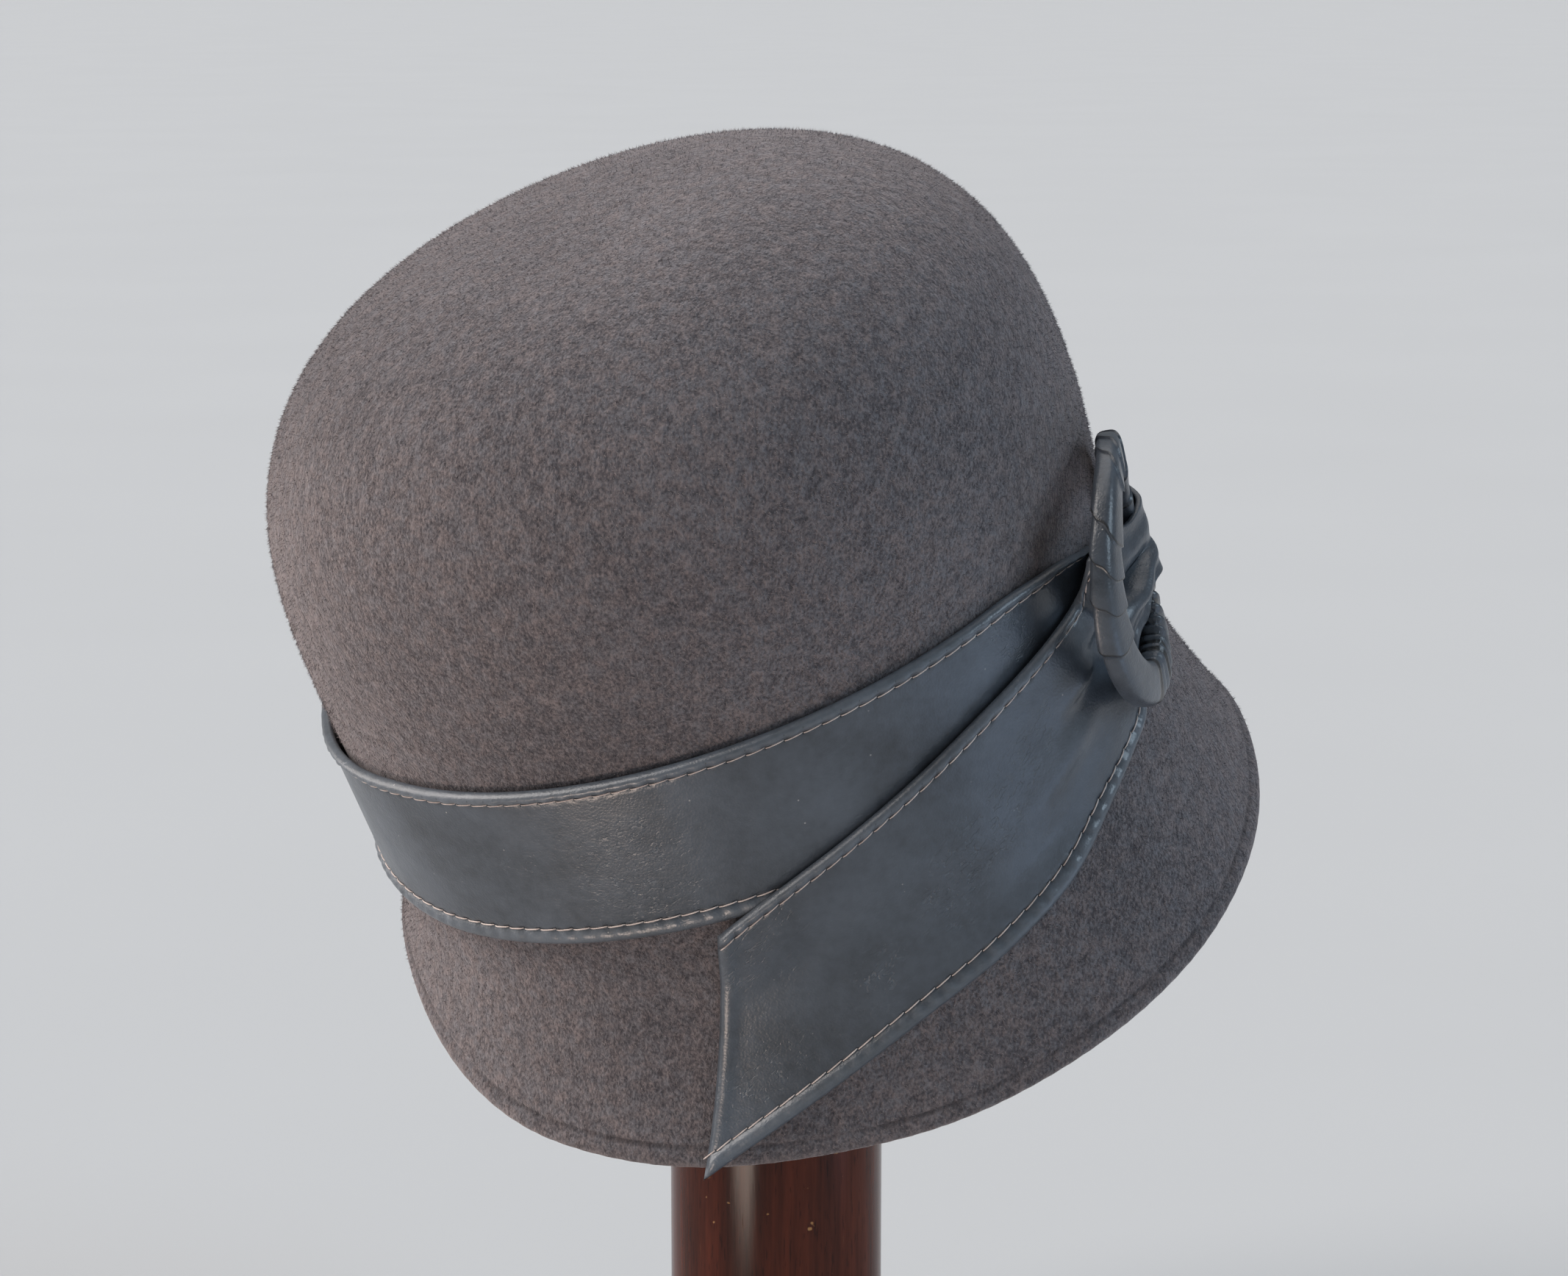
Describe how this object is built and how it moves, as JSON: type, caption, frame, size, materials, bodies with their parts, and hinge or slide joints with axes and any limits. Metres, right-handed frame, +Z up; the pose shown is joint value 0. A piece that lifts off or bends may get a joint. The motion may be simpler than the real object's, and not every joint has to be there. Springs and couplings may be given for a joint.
{
  "type": "cloche hat on a stand",
  "caption": "Grey felt cloche hat with a leather band and a leather tie drawn through a wrapped ring, set tilted on a plain wooden display stand.",
  "frame": {"origin": "on the floor, under the middle of the stand's round foot", "axes": "+Z up along the post; the hat's front looks along +X, and its right side, with the tie's tail, along -Y"},
  "size_m": [0.2473, 0.2308, 0.3632],
  "materials": {
    "felt": "brushed wool felt with a short nap",
    "leather": "smooth grain with a soft sheen",
    "wood": "dark satin varnish"
  },
  "bodies": {
    "root": {"felt_body": "felt", "leather_band": "leather", "leather_tie": "leather", "wrapped_ring": "leather", "stand_post": "wood", "stand_foot": "wood"}
  },
  "joints": []
}
